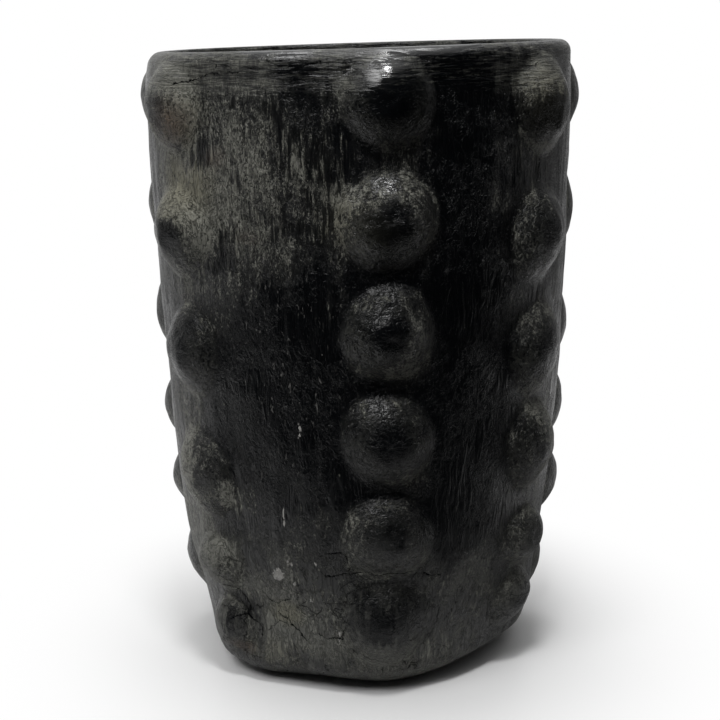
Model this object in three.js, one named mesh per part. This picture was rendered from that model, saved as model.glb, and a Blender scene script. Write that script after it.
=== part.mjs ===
// Hand-built clay vessel: a tall open pot with columns of rounded bosses.
// Millimetres, +Z up. The origin is on the ground at the centre of the foot, and the front faces -Y.
// Azimuth is measured in degrees from the front (-Y), towards +X.
import * as THREE from 'three';
import { mergeVertices } from 'three/addons/utils/BufferGeometryUtils.js';

// Driving dimensions: the whole vessel
const vesselHeight = 476;
const wallThickness = 12;
const floorThickness = 14;
const innerCornerRadius = 34;

// Driving dimensions: the outer line of the wall, as levels and radii
const groundRadius = 122;
const lowerLevel = 110;
const lowerRadius = 142;
const middleLevel = 260;
const middleRadius = 153.5;
const rimRadius = 160.5;

// Driving dimensions: the rounded foot and the lip
const footRadius = 92;
const footRoundHeight = 22;
const footRoundness = 1.5;
const lipOuterRound = 9;
const lipFlat = 0.5;
const rimRise = 2.8;
const rimRiseReach = 4;

// Driving dimensions: the hand-building joints
const dishHeight = 80;
const courseCount = 5;
const rimCoilHeight = 24;
const scarfRise = 10;
const seatGap = 0.3;

// Driving dimensions: the bosses
const bossRows = 6;
const bossRadius = 34;
const bossHeight = 15;
const bossFlank = 1.04;
const bossSpacing = 3;
const bossRimMargin = 2;

// Marks of the hand: each push moves the wall out (or in) round one place. Its azimuth and spread
// are in degrees, push is in wall thicknesses, and level and reach are in dish heights
const handPushes = [
  { azimuth: 60, level: 0, push: -2, spread: 22, reach: 0.16 },
  { azimuth: -14, level: 0, push: -0.55, spread: 18, reach: 0.125 },
  { azimuth: 6, level: 0.125, push: 0.25, spread: 16, reach: 0.325 },
  { azimuth: -50, level: 0.075, push: 0.9, spread: 18, reach: 0.4 },
  { azimuth: 88, level: 0.425, push: 0.65, spread: 24, reach: 0.5 },
  { azimuth: 95, level: 2.9, push: 0.42, spread: 24, reach: 1.6 },
  { azimuth: -88, level: 5.95, push: -0.4, spread: 24, reach: 0.2 },
];
const handWave = 0.7;
const handWaveLength = 150;

// Boss columns: azimuth is at half height, and lean is the turn from the foot row to the rim row.
// Shifts move each boss up from its even place, in boss radii, from the foot row to the rim row.
// StandOuts make it higher or lower than the usual boss, in boss heights
const bossColumns = [
  {
    name: 'front',
    azimuth: 7,
    lean: 0.5,
    shifts: [0.12, 0, -0.07, -0.04, -0.04, 0.06],
    standOuts: [-0.13, -0.07, 0.07, 0.07, 0.07, 0.07],
  },
  {
    name: 'front_right',
    azimuth: 56.5,
    lean: -4.5,
    shifts: [0, -0.67, -0.75, -0.81, -0.6, -0.18],
    standOuts: [0, 0.13, 0.07, 0, 0, 0],
  },
  {
    name: 'right',
    azimuth: 101.5,
    lean: 0,
    shifts: [0, -0.28, -0.6, -0.87, -0.42, -0.12],
    standOuts: [-0.13, 0.2, -0.07, -0.33, -0.27, -0.07],
  },
  {
    name: 'back_right',
    azimuth: 153,
    lean: 1.5,
    shifts: [-0.06, -0.35, -0.49, -0.46, -0.3, -0.06],
    standOuts: [-0.07, 0, 0, 0, 0, 0],
  },
  {
    name: 'back_left',
    azimuth: 205,
    lean: -1,
    shifts: [0, -0.17, -0.32, -0.28, -0.18, 0.03],
    standOuts: [-0.07, 0, 0, 0, 0, 0],
  },
  {
    name: 'left',
    azimuth: 257.5,
    lean: 0,
    shifts: [0.06, -0.16, -0.57, -0.55, -0.3, 0.03],
    standOuts: [0.28, 0.12, 0, -0.1, -0.2, -0.14],
  },
  {
    name: 'front_left',
    azimuth: 307.5,
    lean: -5.5,
    shifts: [-0.32, -1.09, -1.25, -0.74, -0.42, -0.06],
    standOuts: [0, 0.13, 0.07, 0.07, 0.07, 0],
  },
];

// Facet counts
const ringSegments = 48;
const courseBands = 5;
const dishBands = 8;
const innerBands = 2;
const roundBands = 4;
const bossSegments = 14;
const bossRings = [0, 0.28, 0.54, 0.79, 1];

// Derived sizes
const courseHeight = (vesselHeight - dishHeight - rimCoilHeight) / courseCount;
const scarfSlope = Math.hypot(scarfRise, wallThickness) / wallThickness;
const jointGap = seatGap * scarfSlope;
const lipInnerRound = wallThickness - lipOuterRound - lipFlat;
const lowestBossLevel = footRoundHeight + bossRadius;
const highestBossLevel = vesselHeight - bossRimMargin - bossRadius;
const bossPitch = (highestBossLevel - lowestBossLevel) / (bossRows - 1);

// Fired clay, smoked black at the top and ashen at the foot
const smokedClay = { color: 0x30302e, roughness: 0.45, metalness: 0 };
const greyClay = { color: 0x3c3b38, roughness: 0.6, metalness: 0 };
const ashenClay = { color: 0x53514c, roughness: 0.75, metalness: 0 };

const wallLine = new THREE.CubicInterpolant(
  [0, lowerLevel, middleLevel, vesselHeight],
  [groundRadius, lowerRadius, middleRadius, rimRadius],
  1,
  new Float64Array(1),
);

// Outer radius of the wall at a level, before the marks of the hand
function wallRadius(level) {
  const line = wallLine.evaluate(level)[0];
  if (level >= footRoundHeight) {
    return line;
  }
  const below = 1 - Math.max(level, 0) / footRoundHeight;
  const rounded = (1 - below ** footRoundness) ** (1 / footRoundness);
  return line - (groundRadius - footRadius) * (1 - rounded);
}

// Smallest turn from one azimuth to another, in degrees
function turnBetween(from, to) {
  return THREE.MathUtils.euclideanModulo(to - from + 180, 360) - 180;
}

// How far the hand has moved the wall out at a place
function handMark(azimuth, level) {
  const turn = THREE.MathUtils.degToRad(azimuth);
  const climb = (2 * Math.PI * level) / handWaveLength;
  let mark = handWave * Math.sin(2 * turn + climb) * Math.cos(3 * turn - 0.6 * climb);
  for (const { azimuth: centre, level: height, push, spread, reach } of handPushes) {
    const across = turnBetween(centre, azimuth) / spread;
    const along = (level - height * dishHeight) / (reach * dishHeight);
    mark += push * wallThickness * Math.exp(-across * across - along * along);
  }
  return mark;
}

// Point on the vessel at an azimuth, a plain radius and a plain level
function placeOnVessel(azimuth, radius, level) {
  const turn = THREE.MathUtils.degToRad(azimuth);
  const pressed = radius * (1 + handMark(azimuth, level) / wallRadius(level));
  const rise = rimRise * Math.sin(turn) * (Math.max(level, 0) / vesselHeight) ** rimRiseReach;
  return new THREE.Vector3(pressed * Math.sin(turn), -pressed * Math.cos(turn), level + rise);
}

// Joins the seam and the poles of a turned shape into one closed skin
function weld(geometry) {
  geometry.deleteAttribute('normal');
  geometry.deleteAttribute('uv');
  const merged = mergeVertices(geometry, 1e-3);
  const corners = [];
  for (let i = 0; i < merged.index.count; i += 3) {
    const [a, b, c] = [0, 1, 2].map((k) => merged.index.getX(i + k));
    if (a !== b && b !== c && c !== a) {
      corners.push(a, b, c);
    }
  }
  merged.setIndex(corners);
  return merged;
}

// Moves every point of a shape to where place() says
function reshape(geometry, place) {
  const position = geometry.getAttribute('position');
  const point = new THREE.Vector3();
  for (let i = 0; i < position.count; i += 1) {
    point.fromBufferAttribute(position, i);
    const moved = place(point);
    position.setXYZ(i, moved.x, moved.y, moved.z);
  }
  geometry.computeVertexNormals();
  return geometry;
}

// Turns a section, given as [radius, level] points, into a hand-formed ring of the wall
function formRing(section) {
  const profile = section.map(([radius, level]) => new THREE.Vector2(radius, level));
  const ring = weld(new THREE.LatheGeometry(profile, ringSegments));
  return reshape(ring, (point) => {
    const azimuth = THREE.MathUtils.radToDeg(Math.atan2(point.x, point.z));
    return placeOnVessel(azimuth, Math.hypot(point.x, point.z), point.y);
  });
}

// Evenly spaced levels from one to another, both included
function levelsBetween(from, to, bands) {
  return Array.from({ length: bands + 1 }, (_, i) => THREE.MathUtils.lerp(from, to, i / bands));
}

function outerFace(levels) {
  return levels.map((level) => [wallRadius(level), level]);
}

function innerFace(levels) {
  return levels.map((level) => [wallRadius(level) - wallThickness, level]);
}

// Quarter round of a section, from one angle to another in degrees
function quarterRound(centreRadius, centreLevel, size, fromAngle, toAngle) {
  return levelsBetween(fromAngle, toAngle, roundBands).map((angle) => {
    const turn = THREE.MathUtils.degToRad(angle);
    return [centreRadius + size * Math.cos(turn), centreLevel + size * Math.sin(turn)];
  });
}

// Floor and foot pressed as one dish, with a bevelled edge that the first course laps over
function baseDishSection() {
  const footLevels = levelsBetween(0, 1, roundBands).map((share) => footRoundHeight * share ** 1.6);
  const cornerLevel = floorThickness + innerCornerRadius;
  const cornerRadius = wallRadius(cornerLevel) - wallThickness - innerCornerRadius;
  const innerTop = dishHeight + scarfRise;
  return [
    [0, 0],
    ...outerFace(footLevels),
    ...outerFace(levelsBetween(footRoundHeight, dishHeight, dishBands)).slice(1),
    ...innerFace(levelsBetween(innerTop, cornerLevel, innerBands)),
    ...quarterRound(cornerRadius, cornerLevel, innerCornerRadius, 0, -90).slice(1),
    [0, floorThickness],
  ];
}

// One course of the wall: both edges are bevelled, so that each seats on the one below
function courseSection(index) {
  const bottom = dishHeight + index * courseHeight + jointGap;
  const top = dishHeight + (index + 1) * courseHeight;
  const section = [
    ...outerFace(levelsBetween(bottom, top, courseBands)),
    ...innerFace(levelsBetween(top + scarfRise, bottom + scarfRise, innerBands)),
  ];
  return [...section, section[0]];
}

// The last coil, rounded over into the lip
function rimCoilSection() {
  const bottom = vesselHeight - rimCoilHeight + jointGap;
  const outerShoulder = vesselHeight - lipOuterRound;
  const innerShoulder = vesselHeight - lipInnerRound;
  const outerCentre = wallRadius(outerShoulder) - lipOuterRound;
  const innerCentre = wallRadius(innerShoulder) - wallThickness + lipInnerRound;
  const section = [
    ...outerFace([bottom, outerShoulder]).slice(0, 1),
    ...quarterRound(outerCentre, outerShoulder, lipOuterRound, 0, 90),
    ...quarterRound(innerCentre, innerShoulder, lipInnerRound, 90, 180),
    ...innerFace([bottom + scarfRise]),
  ];
  return [...section, section[0]];
}

// Level of each boss in a column, from the foot up
function bossLevels(column) {
  return Array.from({ length: bossRows }, (_, row) => {
    const shift = column.shifts[row % column.shifts.length];
    return lowestBossLevel + row * bossPitch + shift * bossRadius;
  });
}

// A boss is as wide as usual where its place allows, and narrower where its neighbours crowd it
function bossReach(levels, row) {
  const centre = levels[row];
  const room = [bossRadius, vesselHeight - bossRimMargin - centre, centre - footRoundHeight];
  for (const neighbour of [levels[row - 1], levels[row + 1]]) {
    if (neighbour !== undefined) {
      room.push((Math.abs(neighbour - centre) - bossSpacing) / 2);
    }
  }
  return Math.min(...room);
}

// How far the face of a boss stands out from its seat, at a distance from its centre
function bossFace(distance, reach, height) {
  return height * (1 - (distance / (reach * bossFlank)) ** 2);
}

// A lump of clay turned as a dome and then laid on the curved, uneven wall
function formBoss(azimuth, level, reach, height) {
  const seat = bossRings.map((share) => new THREE.Vector2(reach * share, 0));
  const face = bossRings.map((share) => {
    return new THREE.Vector2(reach * share, bossFace(reach * share, reach, height));
  });
  const profile = [...seat, ...face.toReversed()];
  const dome = weld(new THREE.LatheGeometry(profile, bossSegments));
  const seatRadius = wallRadius(level);
  return reshape(dome, (point) => {
    const around = azimuth + THREE.MathUtils.radToDeg(point.x / seatRadius);
    const up = level - point.z;
    const onWall = placeOnVessel(around, wallRadius(up), up);
    const turn = THREE.MathUtils.degToRad(around);
    const out = seatGap + point.y;
    return onWall.add(new THREE.Vector3(out * Math.sin(turn), -out * Math.cos(turn), 0));
  });
}

function addPiece(group, name, geometry, clay) {
  const piece = new THREE.Mesh(geometry, new THREE.MeshStandardMaterial({ ...clay }));
  piece.name = name;
  group.add(piece);
}

function addWall(group) {
  addPiece(group, 'base_dish', formRing(baseDishSection()), ashenClay);
  for (let index = 0; index < courseCount; index += 1) {
    addPiece(group, `wall_course_${index + 1}`, formRing(courseSection(index)), greyClay);
  }
  addPiece(group, 'rim_coil', formRing(rimCoilSection()), smokedClay);
}

function addBosses(group) {
  for (const column of bossColumns) {
    const levels = bossLevels(column);
    levels.forEach((level, row) => {
      const reach = bossReach(levels, row);
      const standOut = column.standOuts[row % column.standOuts.length];
      const height = bossHeight * (Math.sqrt(reach / bossRadius) + standOut);
      const azimuth = column.azimuth + column.lean * (row / (bossRows - 1) - 0.5);
      const boss = formBoss(azimuth, level, reach, height);
      addPiece(group, `boss_${column.name}_${row + 1}`, boss, row < bossRows / 2 ? greyClay : smokedClay);
    });
  }
}

const vessel = new THREE.Group();
vessel.name = 'clay_vessel';
addWall(vessel);
addBosses(vessel);

export default vessel;
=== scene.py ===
"""Dresses the hand-built clay vessel: its dish, courses, rim coil and bosses, and the studio round it."""

import logging
import math
from collections.abc import Iterator
from dataclasses import dataclass, field
from enum import Enum

import bpy
import numpy as np
from bpy.types import Material, Mesh, NodeSocket, NodeTree, Object
from mathutils import Matrix, Vector


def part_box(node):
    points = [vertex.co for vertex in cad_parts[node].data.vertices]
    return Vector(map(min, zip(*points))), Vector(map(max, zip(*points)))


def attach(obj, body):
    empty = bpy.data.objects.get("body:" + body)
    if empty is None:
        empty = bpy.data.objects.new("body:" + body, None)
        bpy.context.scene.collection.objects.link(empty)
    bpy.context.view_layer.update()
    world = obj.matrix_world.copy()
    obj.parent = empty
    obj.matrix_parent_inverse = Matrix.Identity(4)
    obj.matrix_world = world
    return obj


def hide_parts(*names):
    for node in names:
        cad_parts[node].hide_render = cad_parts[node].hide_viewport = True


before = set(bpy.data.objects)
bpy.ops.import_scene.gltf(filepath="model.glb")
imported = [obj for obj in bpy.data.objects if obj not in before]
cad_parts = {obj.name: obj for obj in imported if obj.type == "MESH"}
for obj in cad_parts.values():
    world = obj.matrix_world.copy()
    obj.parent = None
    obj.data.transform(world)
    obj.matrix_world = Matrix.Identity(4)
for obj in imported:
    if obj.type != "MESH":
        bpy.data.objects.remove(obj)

LOG = logging.getLogger("clay_vessel")
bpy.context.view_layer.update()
BODY = "root"
NOISE_INPUTS = ("scale", "detail", "roughness", "distortion")
Array = np.ndarray
Point = tuple[float, float]
Place = tuple[float, float, float]
Colour = tuple[float, float, float, float]


class Slot(Enum):
    """The vessel's material slots, whose values name its clays."""

    SMOKED = "smoked_clay"
    GREY = "grey_clay"
    ASHEN = "ashen_clay"


@dataclass(frozen=True)
class Push:
    """One place where the hand moved the wall out (or in).

    Azimuth and spread are in degrees, push is in wall thicknesses, and level and reach are in
    dish heights.
    """

    azimuth: float
    level: float
    push: float
    spread: float
    reach: float


@dataclass(frozen=True)
class Column:
    """One column of bosses.

    Azimuth is at half height, and lean is the turn from the foot row to the rim row. Stand-outs
    say how far each boss stands out beyond the usual one, in boss heights, from the foot up.
    """

    name: str
    azimuth: float
    lean: float
    stand_outs: tuple[float, ...]


@dataclass(frozen=True)
class Boss:
    """One lump of clay on the wall: its place, its reach along the wall and its height."""

    node: str
    azimuth: float
    level: float
    reach: float
    height: float
    seed: float


@dataclass(frozen=True)
class Crack:
    """A drying crack as a chain of (azimuth in degrees, level in metres) places."""

    places: tuple[Point, ...]


@dataclass(frozen=True)
class Chip:
    """A small pale chip or scuff at (azimuth, level), with half sizes in metres."""

    azimuth: float
    level: float
    half_width: float
    half_height: float
    strength: float


@dataclass(frozen=True)
class Tint:
    """A soft-edged patch of another tone at (azimuth, level), with half sizes in degrees and metres."""

    azimuth: float
    level: float
    half_turn: float
    half_level: float
    amount: float


def smooth_step(low: float, high: float, value: Array) -> Array:
    """Rises smoothly from 0 at low to 1 at high."""
    share = np.clip((value - low) / (high - low), 0.0, 1.0)
    return share * share * (3.0 - 2.0 * share)


def turn_between(start: float, azimuth: Array) -> Array:
    """Smallest turn from start to each azimuth, in degrees."""
    return (azimuth - start + 180.0) % 360.0 - 180.0


@dataclass(frozen=True)
class Spots:
    """Places on the vessel: degrees round it, and metres above the ground before the rim's rise."""

    azimuth: Array
    level: Array

    def __getitem__(self, which: Array) -> "Spots":
        """Some of the places."""
        return Spots(self.azimuth[which], self.level[which])


@dataclass(frozen=True)
class HandNoise:
    """Smooth random unevenness of the clay, which closes on itself round the vessel."""

    cells_round: int
    cells_up: int
    seed: int
    height: float = 0.48

    def at(self, spots: Spots) -> Array:
        """Reads the unevenness.

        Args:
            spots: The places.

        Returns:
            Values between about -1 and 1.
        """
        random = np.random.default_rng(self.seed)
        lattice = random.uniform(-1.0, 1.0, (self.cells_up + 4, self.cells_round))
        across = (spots.azimuth % 360.0) / 360.0 * self.cells_round
        up = np.clip(spots.level / self.height, 0.0, 1.02) * self.cells_up + 1.0
        column = np.floor(across).astype(int)
        row = np.floor(up).astype(int)
        share_across = smooth_step(0.0, 1.0, across - column)
        share_up = smooth_step(0.0, 1.0, up - row)
        left = column % self.cells_round
        right = (column + 1) % self.cells_round
        lower = lattice[row, left] * (1 - share_across) + lattice[row, right] * share_across
        upper = lattice[row + 1, left] * (1 - share_across) + lattice[row + 1, right] * share_across
        return lower * (1 - share_up) + upper * share_up


@dataclass
class VesselForm:
    """The shape that every piece of the vessel shares, in metres and degrees."""

    height: float = 0.476
    wall: float = 0.012
    floor: float = 0.014
    corner_round: float = 0.034
    wall_levels: tuple[float, ...] = (0.0, 0.110, 0.260, 0.476)
    wall_radii: tuple[float, ...] = (0.122, 0.142, 0.1535, 0.1605)
    foot_radius: float = 0.092
    foot_round: float = 0.022
    foot_roundness: float = 1.5
    lip_outer: float = 0.009
    lip_flat: float = 0.0005
    rim_rise: float = 0.0028
    rim_rise_power: float = 4.0
    dish_top: float = 0.080
    course_count: int = 5
    coil_height: float = 0.024
    scarf_rise: float = 0.010
    wave: float = 0.0007
    wave_length: float = 0.150
    boss_usual_reach: float = 0.034
    boss_usual_height: float = 0.015
    boss_skirt: float = 0.98
    boss_fillet: float = 0.12
    boss_flatness: float = 0.90
    boss_outline: tuple[float, float] = (0.030, 0.022)
    boss_feel: float = 1.6
    boss_feel_turn: float = 32
    pushes: tuple[Push, ...] = (
        Push(60, 0.0, -2.0, 22, 0.16),
        Push(-14, 0.0, -0.55, 18, 0.125),
        Push(6, 0.125, 0.25, 16, 0.325),
        Push(-50, 0.075, 0.90, 18, 0.40),
        Push(88, 0.425, 0.65, 24, 0.50),
        Push(95, 2.9, 0.42, 24, 1.6),
        Push(-88, 5.95, -0.4, 24, 0.2),
    )
    columns: tuple[Column, ...] = (
        Column("front", 7, 0.5, (-0.13, -0.07, 0.07, 0.07, 0.07, 0.07)),
        Column("front_right", 56.5, -4.5, (0.0, 0.13, 0.07, 0.0, 0.0, 0.0)),
        Column("right", 101.5, 0.0, (-0.13, 0.2, -0.07, -0.33, -0.27, -0.07)),
        Column("back_right", 153, 1.5, (-0.07, 0.0, 0.0, 0.0, 0.0, 0.0)),
        Column("back_left", 205, -1.0, (-0.07, 0.0, 0.0, 0.0, 0.0, 0.0)),
        Column("left", 257.5, 0.0, (0.28, 0.12, 0.0, -0.1, -0.2, -0.14)),
        Column("front_left", 307.5, -5.5, (0.0, 0.13, 0.07, 0.07, 0.07, 0.0)),
    )
    bosses: list[Boss] = field(default_factory=list)

    def __post_init__(self) -> None:
        """Reads each boss's level and reach from its CAD node."""
        for column in self.columns:
            rows = len(column.stand_outs)
            for row, stand_out in enumerate(column.stand_outs):
                node = f"boss_{column.name}_{row + 1}"
                low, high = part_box(node)
                middle = (low.z + high.z) / 2
                azimuth = column.azimuth + column.lean * (row / (rows - 1) - 0.5)
                level = middle - self.rise(Spots(azimuth, middle))
                reach = (high.z - low.z) / 2
                height = self.boss_usual_height * (math.sqrt(reach / self.boss_usual_reach) + stand_out)
                seed = 1.7 * row + 0.9 * column.azimuth
                self.bosses.append(Boss(node, azimuth, float(level), reach, height, seed))

    @property
    def course_height(self) -> float:
        """Height of one wall course."""
        return (self.height - self.dish_top - self.coil_height) / self.course_count

    def rise(self, spots: Spots) -> Array:
        """How far the leaning rim lifts a place."""
        share = np.maximum(spots.level, 0.0) / self.height
        return self.rim_rise * np.sin(np.radians(spots.azimuth)) * share**self.rim_rise_power

    def wall_line(self, level: Array) -> Array:
        """Follows the smooth line through the wall's radii, the same curve as the CAD model's.

        Args:
            level: Metres above the ground.

        Returns:
            The line's radius at each level.
        """
        rows, sizes = self.wall_levels, self.wall_radii
        levels = np.array([2 * rows[0] - rows[1], *rows, 2 * rows[-1] - rows[-2]])
        radii = np.array([sizes[1], *sizes, sizes[-2]])
        place = np.clip(np.searchsorted(levels, level, side="right") - 1, 1, len(levels) - 3)
        before, start, end, after = (levels[place + step] for step in (-1, 0, 1, 2))
        step = (end - start) / 2
        weight_before = step / (start - before)
        weight_after = step / (after - end)
        p = (level - start) / (end - start)
        part_before = -weight_before * (p**3 - 2 * p**2 + p)
        part_start = (1 + weight_before) * p**3 - (1.5 + 2 * weight_before) * p**2
        part_start = part_start + (weight_before - 0.5) * p + 1
        part_end = -(1 + weight_after) * p**3 + (1.5 + weight_after) * p**2 + 0.5 * p
        part_after = weight_after * (p**3 - p**2)
        parts = (part_before, part_start, part_end, part_after)
        return sum(part * radii[place + step] for part, step in zip(parts, (-1, 0, 1, 2)))

    def wall_radius(self, level: Array) -> Array:
        """Finds the wall's outer radius, before the marks of the hand.

        Args:
            level: Metres above the ground.

        Returns:
            The radius at each level, rounded in at the foot.
        """
        line = self.wall_line(np.asarray(level, float))
        below = np.clip(1 - np.maximum(level, 0.0) / self.foot_round, 0.0, 1.0)
        rounded = (1 - below**self.foot_roundness) ** (1 / self.foot_roundness)
        return line - (self.wall_radii[0] - self.foot_radius) * (1 - rounded)

    def radius_at(self, level: float) -> float:
        """Outer radius of the wall at one level."""
        return float(self.wall_radius(np.float64(level)))

    def offsets(self, start: Point, spots: Spots) -> tuple[Array, Array]:
        """Metres round the wall and up it, from one (azimuth, level) place to others."""
        around = np.radians(turn_between(start[0], spots.azimuth)) * self.radius_at(start[1])
        return around, spots.level - start[1]

    def hand_mark(self, spots: Spots) -> Array:
        """Finds how far the hand has moved the wall out.

        Args:
            spots: The places.

        Returns:
            Metres outwards at each place.
        """
        turn = np.radians(spots.azimuth)
        climb = 2 * np.pi * spots.level / self.wave_length
        mark = self.wave * np.sin(2 * turn + climb) * np.cos(3 * turn - 0.6 * climb)
        for push in self.pushes:
            across = turn_between(push.azimuth, spots.azimuth) / push.spread
            along = (spots.level - push.level * self.dish_top) / (push.reach * self.dish_top)
            mark = mark + push.push * self.wall * np.exp(-across * across - along * along)
        return mark

    def boss_polar(self, boss: Boss, spots: Spots) -> tuple[Array, Array]:
        """Finds where places lie on a boss, whose outline is a little uneven.

        Args:
            boss: The boss.
            spots: The places.

        Returns:
            Distance from the boss's centre as a share of its reach, and direction in radians.
        """
        around, up = self.offsets((boss.azimuth, boss.level), spots)
        direction = np.arctan2(up, around)
        return np.hypot(around, up) / self.boss_reach(boss, direction), direction

    def boss_reach(self, boss: Boss, direction: Array) -> Array:
        """Finds a boss's reach along the wall, which wanders from a circle.

        Args:
            boss: The boss.
            direction: Radians, from level towards up.

        Returns:
            Its reach in each direction, in metres.
        """
        double, triple = self.boss_outline
        wander = double * np.sin(2 * direction + boss.seed) + triple * np.sin(3 * direction + 2 * boss.seed)
        return boss.reach * (1 + wander)

    def bump(self, boss: Boss, share: Array) -> Array:
        """Finds how high a boss and its skirt stand above the wall.

        Args:
            boss: The boss.
            share: Distance from its centre as a share of its reach.

        Returns:
            Height at each place, in metres.
        """
        cap = 1 - (share / self.boss_skirt) ** 2
        soft_cap = (cap + np.sqrt(cap**2 + self.boss_fillet**2)) / 2
        return boss.height * soft_cap**self.boss_flatness

    def bosses_near(self, spots: Spots) -> Iterator[tuple[Boss, Array]]:
        """Finds the bosses that some places lie close to.

        Args:
            spots: The places.

        Yields:
            Each such boss, and which of the places feel it.
        """
        for boss in self.bosses:
            near = np.abs(spots.level - boss.level) < boss.reach * self.boss_feel
            near &= np.abs(turn_between(boss.azimuth, spots.azimuth)) < self.boss_feel_turn
            if near.any():
                yield boss, near


def tints(*rows: tuple[float, float, float, float, float]) -> tuple[Tint, ...]:
    """Patches from rows of azimuth, level, half turn, half level and amount."""
    return tuple(Tint(*row) for row in rows)


@dataclass
class Tooling:
    """The marks that scraping, burnishing, drying and wear left in the clay, in metres and degrees."""

    form: VesselForm
    scrape: float = 0.00030
    narrow_scrape: float = 0.8
    dent: float = 0.00045
    stroke: float = 0.00018
    stroke_below_rim: float = 0.35
    foot_change: float = 0.6
    inner_mark: float = 0.0006
    inner_stroke: float = 0.5
    boss_dent: float = 0.060
    boss_nick: float = 0.020
    crack_depth: float = 0.0004
    crack_width: float = 0.0014
    crack_reach: float = 0.009
    crack_end: float = 0.0012
    crack_search: Point = (14, 0.03)
    chip_edge: float = 1.2
    rim_band: Point = (0.425, 0.455)
    foot_band: Point = (0.05, 0.12)
    upright_scrapes: HandNoise = HandNoise(112, 7, 11)
    narrow_scrapes: HandNoise = HandNoise(230, 26, 12)
    dents: HandNoise = HandNoise(46, 22, 13)
    level_strokes: HandNoise = HandNoise(17, 74, 14)
    broad_unevenness: HandNoise = HandNoise(84, 38, 15)
    small_unevenness: HandNoise = HandNoise(196, 90, 16)
    inner_swells: HandNoise = HandNoise(26, 30, 21)
    inner_strokes: HandNoise = HandNoise(60, 12, 22)
    cracks: tuple[Crack, ...] = (
        Crack(((-11, 0.103), (-4.5, 0.106), (1, 0.1072), (5, 0.106), (6.5, 0.108), (10, 0.105),
               (14, 0.1055))),
        Crack(((18, 0.102), (23, 0.099))),
        Crack(((-10.5, 0.121), (-6, 0.123), (-4.5, 0.118), (-4, 0.106))),
        Crack(((-53, 0.081), (-48.5, 0.079), (-45, 0.079), (-42, 0.073), (-40.5, 0.064), (-41.5, 0.058),
               (-40, 0.055), (-37, 0.048), (-37, 0.041))),
        Crack(((-41.5, 0.058), (-43.5, 0.056), (-46, 0.053))),
        Crack(((-34, 0.082), (-31, 0.075), (-28.5, 0.073), (-29, 0.064), (-25.5, 0.060), (-22.5, 0.052),
               (-20, 0.044))),
        Crack(((-28.5, 0.073), (-26.5, 0.077), (-24, 0.079))),
        Crack(((-15, 0.051), (-12.5, 0.049), (-7.5, 0.049), (-6.5, 0.059))),
        Crack(((-3, 0.092), (-2.5, 0.085), (-2, 0.080))),
        Crack(((-15.5, 0.4625), (-11.5, 0.467), (-8.5, 0.468))),
        Crack(((-49.5, 0.4545), (-45.5, 0.457), (-42, 0.458), (-38.5, 0.4615), (-30, 0.462))),
    )
    chips: tuple[Chip, ...] = (
        Chip(-26.5, 0.0990, 0.0042, 0.0048, 1.1),
        Chip(-22.0, 0.1100, 0.0026, 0.0022, 0.6),
        Chip(-21.5, 0.0910, 0.0014, 0.0044, 0.6),
        Chip(-16.5, 0.0800, 0.0013, 0.0016, 0.7),
        Chip(-14.0, 0.1120, 0.0010, 0.0014, 0.8),
        Chip(-8.5, 0.0500, 0.0014, 0.0052, 0.5),
        Chip(-23.0, 0.1450, 0.0007, 0.0085, 0.55),
        Chip(-16.8, 0.2150, 0.0011, 0.0070, 0.6),
    )

    def surface_marks(self, spots: Spots) -> Array:
        """Makes the outer face's tool marks: upright scraping on the wall, level strokes at the rim.

        Args:
            spots: The places.

        Returns:
            Metres outwards at each place.
        """
        rim_share = smooth_step(*self.rim_band, spots.level)
        foot_share = 1 - smooth_step(*self.foot_band, spots.level)
        scrapes = self.upright_scrapes.at(spots)
        scrapes = scrapes + self.narrow_scrape * self.narrow_scrapes.at(spots)
        scraped = self.scrape * scrapes * (1 - rim_share) * (1 - self.foot_change * foot_share)
        stroked = self.stroke * self.level_strokes.at(spots) * (self.stroke_below_rim + rim_share)
        dented = self.dent * self.dents.at(spots) * (1 + self.foot_change * foot_share)
        return scraped + stroked + dented

    def inner_marks(self, spots: Spots) -> Array:
        """Hollows that the fingers left in the inner face."""
        strokes = self.inner_stroke * self.inner_strokes.at(spots)
        return self.inner_mark * (self.inner_swells.at(spots) + strokes)

    def boss_unevenness(self, spots: Spots) -> Array:
        """How much higher or lower the hand left each place of a boss, as a share of its height."""
        broad = self.boss_dent * self.broad_unevenness.at(spots)
        return broad + self.boss_nick * self.small_unevenness.at(spots)

    def crack_sides(self, spots: Spots) -> tuple[Array, Array]:
        """Finds each place's nearest crack.

        Args:
            spots: The places.

        Returns:
            Distance from the crack in millimetres, below zero on its other side, and how
            open the crack is beside the place, from 0 past its ends to 1.
        """
        side = np.full_like(spots.azimuth, 1000 * self.crack_reach)
        opened = np.zeros_like(spots.azimuth)
        nearest = np.full_like(spots.azimuth, self.crack_reach)
        search_turn, search_up = self.crack_search
        for start, end in (pair for crack in self.cracks for pair in zip(crack.places, crack.places[1:])):
            close = np.abs(spots.level - start[1]) < search_up
            close &= np.abs(turn_between(start[0], spots.azimuth)) < search_turn
            if not close.any():
                continue
            around, up = self.form.offsets(start, spots[close])
            run_around = math.radians(end[0] - start[0]) * self.form.radius_at(start[1])
            run_up = end[1] - start[1]
            run = math.hypot(run_around, run_up)
            along = (around * run_around + up * run_up) / run
            held = np.clip(along, 0.0, run)
            distance = np.hypot(around - held * run_around / run, up - held * run_up / run)
            turned = np.sign(around * run_up - up * run_around)
            past = np.abs(along - held)
            better = distance < nearest[close]
            places = np.flatnonzero(close)[better]
            nearest[places] = distance[better]
            side[places] = (1000 * turned * distance)[better]
            opened[places] = np.exp(-((past / self.crack_end) ** 2))[better]
        return side, opened

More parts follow.
